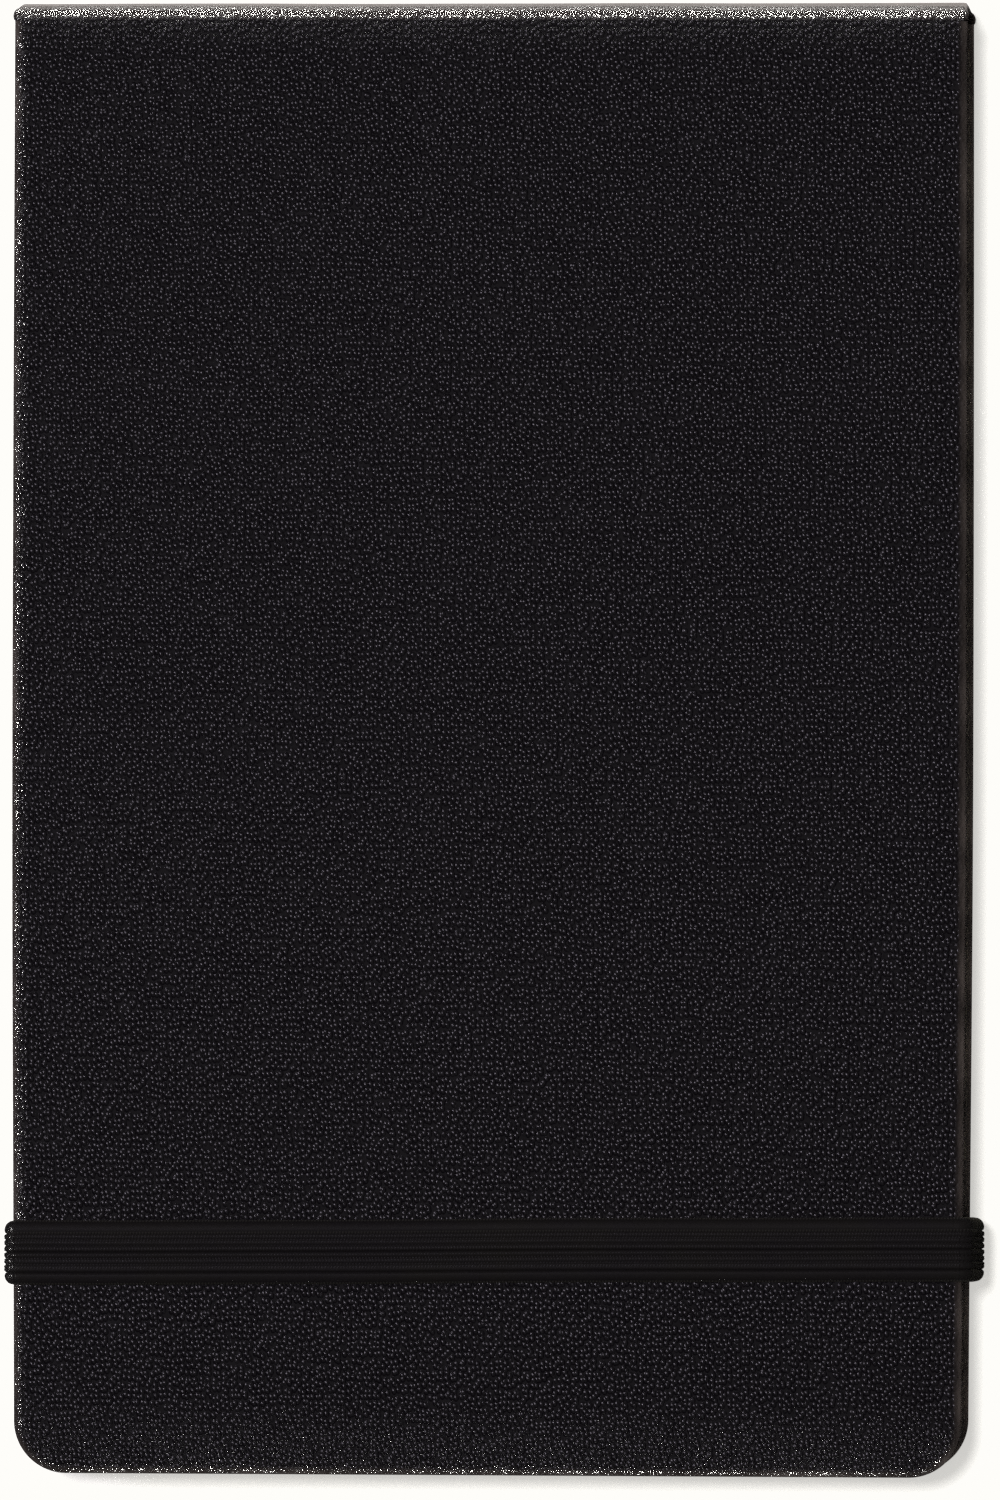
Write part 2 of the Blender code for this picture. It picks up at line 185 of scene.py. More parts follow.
def clean_mesh(mesh, distance, towards=None):
    """Welds points and turns the faces outwards, or the first face towards a direction."""
    work = bmesh.new()
    work.from_mesh(mesh)
    bmesh.ops.remove_doubles(work, verts=work.verts, dist=distance)
    bmesh.ops.recalc_face_normals(work, faces=work.faces)
    work.faces.ensure_lookup_table()
    if towards and work.faces[0].normal.dot(Vector(towards)) < 0:
        bmesh.ops.reverse_faces(work, faces=work.faces)
    work.to_mesh(mesh)
    work.free()


def give_material(obj, material):
    obj.data.materials.clear()
    obj.data.materials.append(material)


def make_piece(
    name, parts, material, thickness=0.0, towards=None, offset=-1, values=None, crease=35
):
    """An object from (points, faces) parts. Points in one place are welded.

    A thickness makes a solid of an open surface. towards is the direction that its first face looks
    in, and with offset -1 the thickness is added behind that face. values holds one number a point
    for each named attribute.
    """
    points, faces = [], []
    for part_points, part_faces in parts:
        start = len(points)
        points.extend(np.asarray(part_points, float).reshape(-1, 3).tolist())
        faces.extend([[start + corner for corner in face] for face in part_faces])
    mesh = bpy.data.meshes.new(name)
    mesh.from_pydata(points, [], faces)
    for attribute, numbers in (values or {}).items():
        layer = mesh.attributes.new(attribute, "FLOAT", "POINT")
        layer.data.foreach_set("value", np.asarray(numbers, np.float32).ravel())
    clean_mesh(mesh, 1e-7, towards)
    obj = add_object(name, mesh)
    if thickness:
        solidify = obj.modifiers.new("thickness", "SOLIDIFY")
        solidify.thickness = thickness
        solidify.offset = offset
        solidify.use_even_offset = True
        apply_modifiers(obj)
    give_material(obj, material)
    obj.data.shade_smooth()
    obj.data.set_sharp_from_angle(angle=radians(crease))
    return obj


def make_sheet(name, rows, material, thickness, towards=None, offset=0, crease=60):
    """A sheet through rows of points, which run along its middle unless offset says otherwise."""
    grid = np.array(rows)
    parts = [(grid, grid_faces(*grid.shape[:2]))]
    return make_piece(name, parts, material, thickness, towards, offset, crease=crease)


def make_swept(name, sections, material, values, crease=35):
    """A solid through closed sections, one row of points each."""
    grid = np.array(sections)
    parts = [(grid, tube_faces(*grid.shape[:2]))]
    return make_piece(name, parts, material, values=values, crease=crease)


def tubes(name, lines, radius, material, sides=6):
    """Round threads along lines of points, as one mesh."""
    curve = bpy.data.curves.new(name, "CURVE")
    curve.dimensions = "3D"
    curve.bevel_depth = radius
    curve.bevel_resolution = max(0, sides // 2 - 2)
    curve.use_fill_caps = True
    for line in lines:
        spline = curve.splines.new("POLY")
        spline.points.add(len(line) - 1)
        for spot, point in zip(spline.points, line):
            spot.co = (*point, 1)
    obj = add_object(name, curve)
    mesh = evaluated_mesh(obj)
    bpy.data.objects.remove(obj, do_unlink=True)
    clean_mesh(mesh, 1e-8)
    piece = add_object(name, mesh)
    give_material(piece, material)
    piece.data.shade_smooth()
    return piece


def arc_points(center, radius, start, end, steps):
    """Points along an arc in a plane, from one angle to another."""
    angles = np.linspace(start, end, steps + 1)
    return [(center[0] + radius * cos(a), center[1] + radius * sin(a)) for a in angles]


def riding(piece, body, slot, *nodes):
    """A piece that moves with one body, in place of the frame's nodes."""
    if nodes:
        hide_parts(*nodes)
    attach(piece, body)
    return piece


def bending(piece, first, second, start, end, slot, *nodes):
    """A piece left as built, in place of the frame's nodes; first, second, start and end are not
    used.
    """
    if nodes:
        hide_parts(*nodes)
    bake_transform(piece)
    return piece


# ---- materials


class Shader:
    """A material's node tree, with short calls for the nodes used here."""

    def __init__(self, name, roughness, specular=0.5, sheen=0.0, sheen_roughness=0.5):
        self.material = bpy.data.materials.new(name)
        self.material.use_nodes = True
        self.tree = self.material.node_tree
        self.principled = self.tree.nodes["Principled BSDF"]
        self.principled.inputs["Roughness"].default_value = roughness
        self.principled.inputs["Specular IOR Level"].default_value = specular
        self.principled.inputs["Sheen Weight"].default_value = sheen
        self.principled.inputs["Sheen Roughness"].default_value = sheen_roughness
        self.place = self.node("ShaderNodeTexCoord").outputs["Object"]

    def node(self, kind, **settings):
        made = self.tree.nodes.new(kind)
        for key, value in settings.items():
            setattr(made, key, value)
        return made

    def link(self, source, target):
        self.tree.links.new(source, target)

    def stretched(self, scale):
        """Object coordinates, scaled."""
        mapping = self.node("ShaderNodeMapping")
        self.link(self.place, mapping.inputs["Vector"])
        mapping.inputs["Scale"].default_value = scale
        return mapping.outputs["Vector"]

    def noise(self, size, detail=2.0, rough=0.5, distortion=0.0, scale=(1, 1, 1)):
        """Noise whose features are about size metres across."""
        texture = self.node("ShaderNodeTexNoise")
        self.link(self.stretched(scale), texture.inputs["Vector"])
        texture.inputs["Scale"].default_value = 1 / size
        texture.inputs["Detail"].default_value = detail
        texture.inputs["Roughness"].default_value = rough
        texture.inputs["Distortion"].default_value = distortion
        return texture.outputs["Fac"]

    def cells(self, size, scale=(1, 1, 1), randomness=1.0):
        """Distance from the middles of cells about size metres across, in sizes."""
        texture = self.node("ShaderNodeTexVoronoi")
        self.link(self.stretched(scale), texture.inputs["Vector"])
        texture.inputs["Scale"].default_value = 1 / size
        texture.inputs["Randomness"].default_value = randomness
        return texture.outputs["Distance"]

    def waves(self, size, axis, distortion=0.0):
        """Parallel waves, size metres from crest to crest."""
        texture = self.node("ShaderNodeTexWave", wave_type="BANDS", bands_direction=axis)
        self.link(self.place, texture.inputs["Vector"])
        texture.inputs["Scale"].default_value = pi / 10 / size
        texture.inputs["Distortion"].default_value = distortion
        texture.inputs["Detail"].default_value = 0
        return texture.outputs["Fac"]

    def math(self, operation, first, second):
        """The named operation on two numbers or sockets."""
        made = self.node("ShaderNodeMath", operation=operation)
        for socket, value in zip(made.inputs, (first, second)):
            if isinstance(value, (int, float)):
                socket.default_value = value
            else:
                self.link(value, socket)
        return made.outputs[0]

    def ramp(self, factor, low, high, start=0.0, end=1.0):
        """low below start, high above end, and straight between them."""
        made = self.node("ShaderNodeMapRange")
        self.link(factor, made.inputs["Value"])
        names = ("From Min", "From Max", "To Min", "To Max")
        for name, value in zip(names, (start, end, low, high)):
            made.inputs[name].default_value = value
        return made.outputs["Result"]

    def blend(self, factor, first, second):
        """A colour between two, each a tuple or a socket."""
        made = self.node("ShaderNodeMix", data_type="RGBA")
        self.link(factor, made.inputs["Factor"])
        for socket, value in ((made.inputs[6], first), (made.inputs[7], second)):
            if isinstance(value, tuple):
                socket.default_value = (*value, 1)
            else:
                self.link(value, socket)
        return made.outputs[2]

    def attribute(self, name):
        return self.node("ShaderNodeAttribute", attribute_name=name).outputs["Fac"]

    def bump(self, height, distance, strength=1.0, under=None):
        """A normal for a height socket of a given depth, over the normal under it."""
        made = self.node("ShaderNodeBump")
        made.inputs["Distance"].default_value = distance
        if isinstance(strength, float):
            made.inputs["Strength"].default_value = strength
        else:
            self.link(strength, made.inputs["Strength"])
        self.link(height, made.inputs["Height"])
        if under:
            self.link(under, made.inputs["Normal"])
        return made.outputs["Normal"]

    def finish(self, color=None, roughness=None, normal=None):
        """Links what is given and hands back the material."""
        for name, socket in (("Base Color", color), ("Roughness", roughness), ("Normal", normal)):
            if socket:
                self.link(socket, self.principled.inputs[name])
        return self.material


def leatherette_material():
    """Black leatherette with domed pebbles that pressed flattens, and edges lightened by wear and
    painted sheen.
    """
    s = Shader("leatherette", 0.3, specular=0.5)
    pebbles = s.cells(0.43 * MM, scale=(1.0, 0.75, 1.0), randomness=0.72)
    reach = s.math("MINIMUM", pebbles, 0.62)
    dome = s.math("SUBTRACT", 1.0, s.math("POWER", reach, 1.7))
    broad = s.noise(9 * MM, detail=2)
    slope = s.bump(broad, 0.12 * MM)
    raised = s.math("SUBTRACT", 1.0, s.math("MULTIPLY", s.attribute("pressed"), 0.85))
    normal = s.bump(dome, 0.2 * MM, strength=raised, under=slope)
    shade = s.blend(broad, (0.0026, 0.0019, 0.0031), (0.0038, 0.0030, 0.0044))
    # Lighter brownish grey on the rounded edges, side walls and spine: edge wear together with
    # painted sheen, standing in for the light that these edges catch.
    shade = s.blend(s.attribute("wear_and_sheen"), shade, (0.076, 0.062, 0.058))
    rough = s.ramp(s.noise(2.2 * MM), 0.20, 0.28, 0.3, 0.7)
    return s.finish(shade, rough, normal)


def paper_material(name, light, dark, tooth, roughness=0.85):
    """Uncoated paper: fibres, faint mottling and a light tooth."""
    s = Shader(name, roughness, specular=0.25)
    fibres = s.noise(0.5 * MM, detail=4, rough=0.7, distortion=1.5, scale=(1, 0.35, 1))
    mottle = s.noise(6 * MM, detail=3)
    color = s.blend(s.math("MULTIPLY", fibres, mottle), dark, light)
    normal = s.bump(s.noise(0.28 * MM, detail=3, rough=0.65), tooth)
    rough = s.ramp(mottle, roughness - 0.06, roughness + 0.06, 0.3, 0.7)
    return s.finish(color, rough, normal)


def board_material(name, light, dark, speck):
    """Pulp board: coarse fibres with darker and lighter specks."""
    s = Shader(name, 0.9, specular=0.2)
    fibres = s.noise(0.6 * MM, detail=5, rough=0.75, distortion=2.0)
    color = s.blend(s.ramp(fibres, 0, 1, 0.35, 0.65), dark, light)
    specks = s.ramp(s.cells(1.4 * MM), 1, 0, 0.08, 0.16)
    color = s.blend(specks, color, speck)
    return s.finish(color, None, s.bump(fibres, 0.05 * MM))


def bookcloth_material():
    """Black bookcloth: a plain weave, 0.36 mm from thread to thread."""
    s = Shader("pocket_cloth", 0.8, specular=0.3, sheen=0.25)
    warp, weft = s.waves(0.36 * MM, "X", 0.4), s.waves(0.36 * MM, "Y", 0.4)
    weave = s.math("MAXIMUM", warp, weft)
    thread = s.noise(0.8 * MM, detail=2)
    color = s.blend(s.math("MULTIPLY", weave, thread), (0.006, 0.006, 0.006), (0.035, 0.034, 0.033))
    return s.finish(color, None, s.bump(weave, 0.05 * MM))


def elastic_material():
    """Black yarn with a dull shine, and paler threads where the attribute tint is above 0."""
    s = Shader("elastic", 0.55, specular=0.2, sheen=0.05, sheen_roughness=0.25)
    s.principled.inputs["Sheen Tint"].default_value = (0.8, 0.76, 0.6, 1)
    yarn = s.noise(0.16 * MM, detail=2)
    patches = s.noise(5 * MM, detail=2)
    color = s.blend(yarn, (0.0056, 0.0048, 0.0056), (0.0125, 0.0108, 0.0122))
    color = s.blend(s.ramp(patches, 0, 0.6, 0.4, 0.8), color, (0.0105, 0.0096, 0.0080))
    color = s.blend(s.attribute("tint"), color, (0.070, 0.066, 0.062))
    rough = s.ramp(yarn, 0.36, 0.52, 0.3, 0.7)
    return s.finish(color, rough, s.bump(yarn, 0.015 * MM))


def thread_material(name, light, dark):
    """Twisted linen thread."""
    s = Shader(name, 0.7, specular=0.3)
    twist = s.noise(0.2 * MM, detail=2, scale=(1, 1, 0.4))
    return s.finish(s.blend(twist, dark, light), None, s.bump(twist, 0.02 * MM))


def floor_material():
    """A white table that glows too, which keeps it whiter than the paper that lies on it."""
    s = Shader("floor", 0.95, specular=0.0)
    tone = s.noise(60 * MM, detail=1)
    s.principled.inputs["Emission Color"].default_value = (1, 1, 1, 1)
    s.principled.inputs["Emission Strength"].default_value = FLOOR_GLOW
    return s.finish(s.blend(tone, (0.90, 0.895, 0.885), (0.92, 0.915, 0.905)))


LEATHERETTE = leatherette_material()
PAPER_LOOK = paper_material("paper", (0.84, 0.80, 0.70), (0.70, 0.65, 0.54), 0.03 * MM)
ENDPAPER_LOOK = paper_material("endpaper", (0.80, 0.75, 0.64), (0.68, 0.62, 0.50), 0.015 * MM, 0.8)
CARD_LOOK = paper_material("pocket_card", (0.77, 0.72, 0.61), (0.64, 0.58, 0.46), 0.02 * MM, 0.8)
BOARD_LOOK = board_material("board", (0.42, 0.40, 0.37), (0.27, 0.255, 0.23), (0.12, 0.11, 0.10))
KRAFT_LOOK = board_material("spine_card", (0.50, 0.38, 0.25), (0.36, 0.26, 0.16), (0.2, 0.13, 0.08))
CLOTH_LOOK = bookcloth_material()
ELASTIC_LOOK = elastic_material()
THREAD_LOOK = thread_material("thread", (0.86, 0.83, 0.76), (0.62, 0.58, 0.50))
MULL_LOOK = thread_material("mull", (0.84, 0.81, 0.73), (0.66, 0.62, 0.52))


# ---- covers


def cover_ring(inset, height, crimp=0.0):
    """Points round a cover's three free edges, from the spine end at +X to the one at -X.

    inset is the distance in from the outline. crimp raises small pleats round the corners.
    """
    radius = max(CORNER_RADIUS - inset, 0.0)
    center_x = HALF_WIDTH - inset - radius
    center_y = FREE_EDGE_Y + inset + radius
    side = [
        (HALF_WIDTH - inset, y, height)
        for y in np.linspace(COVER_END_Y, center_y, SIDE_STEPS + 1)[:-1]
    ]
    corner = []
    for step in range(CORNER_STEPS + 1):
        share = step / CORNER_STEPS
        angle = -share * pi / 2
        pleat = crimp * sin(pi * share) * cos(14 * pi * share)
        corner.append(
            (center_x + radius * cos(angle), center_y + radius * sin(angle), height + pleat)
        )
    end_places = np.linspace(center_x, 0, END_STEPS // 2 + 1)[1:]
    end = [(x, FREE_EDGE_Y + inset, height) for x in end_places]
    half = side + corner + end
    return half + [(-x, y, z) for x, y, z in half[-2::-1]]


def edge_profile(outer, inner):
    """(inset, height) pairs from the outer face round the edge to the end of the turn-in."""
    side = 1 if outer > inner else -1
    profile = [(CORNER_RADIUS, outer), (4 * MM, outer), (2.6 * MM, outer), (1.5 * MM, outer)]
    radius = OUTER_EDGE_RADIUS
    for angle in np.linspace(0, pi / 2, 8):
        profile.append((radius * (1 - sin(angle)), outer - side * radius * (1 - cos(angle))))
    radius = INNER_EDGE_RADIUS
    for angle in np.linspace(0, pi / 2, 6):
        profile.append((radius * (1 - cos(angle)), inner + side * radius * (1 - sin(angle))))
    insets = (0.9, 1.6, 2.4, 3.4, 4.4, 5.4, 8.0, 12.0)
    return profile + [(inset * MM, inner) for inset in insets]


def cover_warp(x, y, reach):
    """The x and the lift of a point of a cover, which widens a little towards the spine.

    reach is 0 at the cover's edge, where its face has none of the unevenness.
    """
    length = COVER_END_Y - FREE_EDGE_Y
    share = (y - FREE_EDGE_Y) / length
    bow = SIDE_FLARE * smooth_step(2 * share) + SIDE_BOW * sin(pi * min(max(share, 0), 1))
    return x * (1 + bow / HALF_WIDTH), unevenness(x, y, 21 * MM, 0.05 * MM, 3) * reach


def make_cover_skin(side, outer, inner, body):
    """Leatherette round one board: the face, the rounded edge and the glued turn-in."""
    up = 1 if outer > inner else -1
    profile = edge_profile(outer, inner)
    rings, wear_and_sheen = [], []
    for inset, height in profile:
        crimped = abs(height - inner) < 1e-9 and 0.5 * MM < inset < 5 * MM
        ring = cover_ring(inset, height, crimp=0.09 * MM if crimped else 0.0)
        rings.append(ring)
        # Painted lighter along the rounded edge and side wall: edge wear that varies along the
        # edge, together with painted sheen.
        edge = 1 - smooth_step(inset / (0.9 * MM))
        wear_and_sheen.append([edge * (0.45 + 1.1 * abs(drift(p[1] + p[0], 4 * MM, 1, 9))) for p in ring])
    beside = SIDE_STEPS + CORNER_STEPS
    columns = np.array([p[0] for p in rings[0][beside:-beside]])
    rows = np.array([p[1] for p in rings[0][: SIDE_STEPS + 1]])
    face = [[(x, y, outer) for x in columns] for y in rows]
    shaped = []
    for grid in (np.array(face), np.array(rings)):
        flat = grid.reshape(-1, 3).copy()
        for point in flat:
            near_edge = min(HALF_WIDTH - abs(point[0]), point[1] - FREE_EDGE_Y)
            reach = smooth_step(near_edge / (4 * MM)) * (abs(point[2] - outer) < 1e-9)
            reach *= smooth_step((COVER_END_Y - point[1]) / (6 * MM))
            point[0], lift = cover_warp(point[0], point[1], reach)
            point[2] += up * lift
        shaped.append((flat, grid_faces(*grid.shape[:2])))
    values = {"wear_and_sheen": np.concatenate([np.zeros(len(face) * len(columns)), np.ravel(wear_and_sheen)])}
    piece = make_piece(
        f"{side}_cover_leatherette", shaped, LEATHERETTE, SKIN, towards=(0, 0, up), values=values
    )
    return riding(piece, body, "leatherette", f"{side}_cover_skin")


def spine_section(half, depth):
    """One closed section of the spine's leatherette as (x, depth): folded over at head and tail."""
    top = SPINE_EDGE_RADIUS
    low = depth - top
    right = [(x, 0.0) for x in np.linspace(0, half - top, 25)]
    for angle in np.linspace(0, pi / 2, 7)[1:]:
        right.append((half - top + top * sin(angle), top * (1 - cos(angle))))
    for angle in np.linspace(0, pi / 2, 5)[1:]:
        right.append((half - low * (1 - cos(angle)), top + low * sin(angle)))
    right += [(x, depth) for x in (half - 0.3 * SPINE_FLAP, half - SPINE_FLAP)]
    right += [(x, SKIN) for x in np.linspace(half - SPINE_FLAP - 0.1 * MM, 0, 9)]
    return right + [(-x, d) for x, d in right[-2:0:-1]]


def spine_path(side):
    """(y, z, normal y, normal z) along the leatherette, from a cover's end to mid-height."""
    up = 1 if side == "front" else -1
    face_z = FRONT_Z if side == "front" else BACK_Z
    center_z = face_z - up * ROLL_RADIUS
    path = [(y, face_z, 0.0, up) for y in (COVER_END_Y, (COVER_END_Y + ROLL_CENTER_Y) / 2)]
    for angle in np.linspace(pi / 2, 0, 19):
        outwards, upwards = cos(angle), up * sin(angle)
        y, z = ROLL_CENTER_Y + ROLL_RADIUS * outwards, center_z + ROLL_RADIUS * upwards
        path.append((y, z, outwards, upwards))
    face_y = ROLL_CENTER_Y + ROLL_RADIUS
    for share in [0.03, 0.06, 0.1, *np.linspace(0, 1, 14)[2:]]:
        z = center_z + (MIDDLE_Z - center_z) * share
        groove = SPINE_GROOVE * sin(pi * min(share / 0.12, 1.0))
        path.append((face_y - groove, z, 1.0, 0.0))
    return path


def spine_swell(x, z):
    """How far the spine's face stands out, over the sewn folds inside it."""
    top = (FRONT_Z - BACK_Z) / 2 - ROLL_RADIUS
    share = min(abs(z - MIDDLE_Z) / top, 1.0)
    ends = smooth_step((HALF_WIDTH + SIDE_FLARE - abs(x)) / (0.4 * MM))
    bow = SPINE_BOW + SPINE_SKEW * x / HALF_WIDTH
    return bow * cos(pi / 2 * share) ** 0.8 * ends


def make_spine_skin(side, first, second, start, end, *nodes):
    """Leatherette from one cover's end round the roll to mid-height of the spine."""
    path = spine_path(side)
    rows, wear_and_sheen, pressed = [], [], []
    for y, z, normal_y, normal_z in path:
        rolled = sqrt(max(normal_y * abs(normal_z), 0.0))
        half = HALF_WIDTH + SIDE_FLARE + SPINE_FLARE * rolled * sqrt(2)
        depth = SPINE_FLAP_DEPTH + 0.2 * MM * max(normal_y - rolled, 0)
        row = []
        for x, inside in spine_section(half, depth):
            ripple = drift(x, 13 * MM, 0.05 * MM, 5)
            swell = spine_swell(x, z) if normal_y > 0.999 else 0.0
            out = swell + (ripple * (inside < SKIN) - inside) * normal_y
            row.append((x, y + out, z - inside * normal_z))
        rows.append(row)
        # The roll and the spine's face are painted lighter: edge wear together with painted sheen.
        wear_and_sheen.append([0.5 * rolled + 0.25 * abs(normal_y)] * len(row))
        pressed.append([float(smooth_step((normal_y - 0.93) / 0.07))] * len(row))
    values = {"wear_and_sheen": np.array(wear_and_sheen), "pressed": np.array(pressed)}
    piece = make_swept(f"spine_leatherette_{side}", rows, LEATHERETTE, values)
    return bending(piece, first, second, start, end, "leatherette", *nodes)


def make_leatherette():
    make_cover_skin("front", FRONT_Z, FRONT_LOW.z, "front_cover")
    make_cover_skin("back", BACK_Z, BACK_HIGH.z, "back_cover")
    spine_y = ROLL_CENTER_Y + ROLL_RADIUS
    on_front = (ROLL_CENTER_Y, FRONT_Z)
    below_front = (spine_y, FRONT_Z - ROLL_RADIUS)
    on_back = (ROLL_CENTER_Y, BACK_Z)
    above_back = (spine_y, BACK_Z + ROLL_RADIUS)
    make_spine_skin("front", "text_block", "front_cover", below_front, on_front, "spine_skin")
    make_spine_skin("back", "back_cover", "text_block", on_back, above_back, "spine_skin")


# ---- endpapers


def across(half, fine=()):
    """Crossing places from -half to half, with extra ones round each place in fine."""
    places = set(np.round(np.linspace(-half, half, 25), 9))
    for place in fine:
        for sign in (-1, 1):
            places |= {round(sign * (place + step * MM), 9) for step in (-0.5, -0.25, 0, 0.25, 0.5)}
    return np.array(sorted(places))


def make_pastedown(side, body):
    """The glued endpaper. It dips onto the board inside the leatherette's turn-ins."""
    low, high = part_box(f"{side}_pastedown")
    up = 1 if side == "front" else -1
    surface = low.z if side == "front" else high.z
    step_x = HALF_WIDTH - TURN_IN
    step_y = FREE_EDGE_Y + TURN_IN
    xs = across(high.x, fine=(step_x,))
    steps = {step_y + step * MM for step in (-0.5, -0.25, 0.25, 0.5)}
    ys = sorted(set(np.linspace(low.y, high.y, 40)) | steps)
    radius = CORNER_RADIUS - (HALF_WIDTH - high.x)
    rows = []
    for y in ys:
        half = rounded_half_width(high.x, radius, y - low.y)
        row = []
        for x in xs:
            inside = smooth_step((step_x - abs(x)) / MM + 0.5)
            inside *= smooth_step((y - step_y) / MM + 0.5)
            dip = inside * (PASTEDOWN_DIP + unevenness(x, y, 14 * MM, 0.025 * MM, 11))
            row.append((x * half / high.x, y, surface + up * dip))
        rows.append(row)
    towards = (0, 0, -up)
    name = f"{side}_endpaper_pasted"
    piece = make_sheet(name, rows, ENDPAPER_LOOK, ENDPAPER, towards, offset=-1, crease=35)
    return riding(piece, body, "endpaper", f"{side}_pastedown")


def rounded_half_width(half, radius, distance):
    """Half the width of a sheet at a distance from its free edge, whose corners are round."""
    if distance >= radius:
        return half
    return half - radius + sqrt(max(radius**2 - (radius - distance) ** 2, 0.0))


def strip(name, path, half, thickness, material, columns=17):
    """A strip of paper or card as wide as 2 * half, through (y, z) points."""
    xs = np.linspace(-half, half, columns)
    return make_sheet(name, [[(x, y, z) for x in xs] for y, z in path], material, thickness)


def make_front_joint():
    """The endpaper where it folds from the front cover to the sewn block."""
    _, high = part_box("front_pastedown")
    fold_radius = (high.z - FLYLEAF_LOW.z) / 2 - ENDPAPER / 2 + 0.06 * MM
    upper_z = FLYLEAF_LOW.z + PAPER / 2 + 2 * fold_radius
    fold_y = high.y - 0.02 * MM
    root_y = FLYLEAF_HIGH.y + 0.08 * MM
    path = [(fold_y, upper_z)]
    path += arc_points((fold_y, upper_z - fold_radius), fold_radius, pi / 2, -pi / 2, 16)[1:]
    path += [(root_y, FLYLEAF_LOW.z + PAPER / 2)]
    piece = strip("front_endpaper_joint", path, high.x, 0.12 * MM, ENDPAPER_LOOK)
    start, end = (fold_y, path[-1][1]), (fold_y, upper_z)
    return bending(piece, "text_block", "front_cover", start, end, "endpaper")


def make_back_joint():
    """The endpaper where it folds from the back cover to the sewn block."""
    _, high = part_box("back_pastedown")
    flyleaf_low, flyleaf_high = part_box("back_flyleaf")
    low_z = high.z - ENDPAPER / 2 - 0.1 * MM
    top_z = (flyleaf_low.z + flyleaf_high.z) / 2
    radius = (top_z - low_z) / 2
    fold_y = high.y - 0.5 * radius
    path = [(high.y - 0.7 * MM, low_z)]
    path += arc_points((fold_y, low_z + radius), radius, -pi / 2, pi / 2, 18)
    squeezed = [(fold_y + (y - fold_y) * 0.5, z) if y > fold_y else (y, z) for y, z in path]
    squeezed.append((flyleaf_high.y + 0.05 * MM, top_z))
    piece = strip("back_endpaper_joint", squeezed, high.x, 0.12 * MM, ENDPAPER_LOOK)
    return bending(piece, "back_cover", "text_block", (fold_y, low_z), (fold_y, top_z), "endpaper")


# ---- pages


def page_rows(path, seed):
    """Crossing rows of a sheet through (y, z) points, its free edges a little uneven."""
    trim = drift(seed, 1.0, 0.09 * MM, 21)
    slip = drift(seed, 1.0, 0.08 * MM, 33)
    rows = []
    for index, (y, z) in enumerate(path):
        half = rounded_half_width(PAGE_HALF_WIDTH, PAGE_CORNER_RADIUS, y - PAGE_EDGE_Y)
        row = []
        for share in np.linspace(-1, 1, 13):
            wander = drift(y + seed, 9 * MM, 0.02 * MM, 41 + (share > 0)) * abs(share) ** 6
            row.append((share * (half + trim) + wander + slip * 0.4, y, z))
        if index in (0, len(path) - 1) and abs(y - PAGE_EDGE_Y) < 1e-9:
            row = [
                (x, y + slip + drift(x + seed, 12 * MM, 0.02 * MM, 51), z) for x, y, z in row
            ]
        rows.append(row)
    return np.array(rows)


def leaf_places(end_y, bend=0.0):
    """Places along a leaf from its free edge, close together round its corners and over a bend."""
    corner = [PAGE_CORNER_RADIUS * (1 - cos(a)) for a in np.linspace(0, pi / 2, 11)]
    places = [PAGE_EDGE_Y + distance for distance in corner]
    places += list(np.linspace(places[-1], end_y - bend, 26)[1:])
    if bend:
        places += list(np.linspace(end_y - bend, end_y, 25)[1:])
    return places


def make_page(name, path, body, seed, slot, look):
    """A sheet that stays as it is, named for the node that it replaces."""
    piece = make_sheet(name, page_rows(path, seed), look, PAPER)
    return riding(piece, body, slot, name.removesuffix("_paper"))


LEAF_BEND = 3.5 * MM  # stretch of a turning leaf, from its root, where its rows lie closer together


def make_turning_leaf(node, seed, slot, look):
    """A flat leaf in place of the frame's leaf, its rows closer together over the stretch next to
    its root.
    """
    low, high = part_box(node)
    z = (low.z + high.z) / 2
    rows = page_rows([(y, z) for y in leaf_places(high.y, LEAF_BEND)], seed)
    piece = make_sheet(f"{node}_paper", rows, look, PAPER)
    return bending(piece, "text_block", node, (high.y, z), (high.y - LEAF_BEND, z), slot, node)


SHEET_SEED = 0.0007225


def make_folded_sheet(node, seed):
    """A folded sheet of the block: lower leaf, fold and, unless it turns, upper leaf."""
    low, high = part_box(node)
    whole = not node.startswith("signature_1_")
    low_z, high_z = low.z + PAPER / 2, high.z - PAPER / 2
    radius = (high_z - low_z) / 2
    center_y = high.y - PAPER / 2 - radius
    places = leaf_places(center_y)
    fold = arc_points((center_y, (low_z + high_z) / 2), radius, -pi / 2, pi / 2, 12)
    path = [(y, low_z) for y in places] + fold[1:]
    if whole:
        path += [(y, high_z) for y in places[-2::-1]]
    return make_page(f"{node}_paper", path, "text_block", seed, "paper", PAPER_LOOK)


def make_pages():
    sheets = [node for node in sorted(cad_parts) if node.startswith("signature_")]
    for number, node in enumerate(sheets):
        make_folded_sheet(node, SHEET_SEED + 1.37 * number)
    for number in range(1, 5):
        make_turning_leaf(f"leaf_{number}", 50 + 1.91 * number, "paper", PAPER_LOOK)
    make_turning_leaf("front_flyleaf", 70.3, "endpaper", ENDPAPER_LOOK)
    low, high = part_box("back_flyleaf")
    path = [(y, (low.z + high.z) / 2) for y in leaf_places(high.y)]
    make_page("back_flyleaf_paper", path, "text_block", 81.7, "endpaper", ENDPAPER_LOOK)


# ---- binding


PLY_RADIUS = 0.075 * MM
PLY_TWIST = 0.055 * MM  # from the thread's middle to each ply's
PLY_PITCH = 0.8 * MM


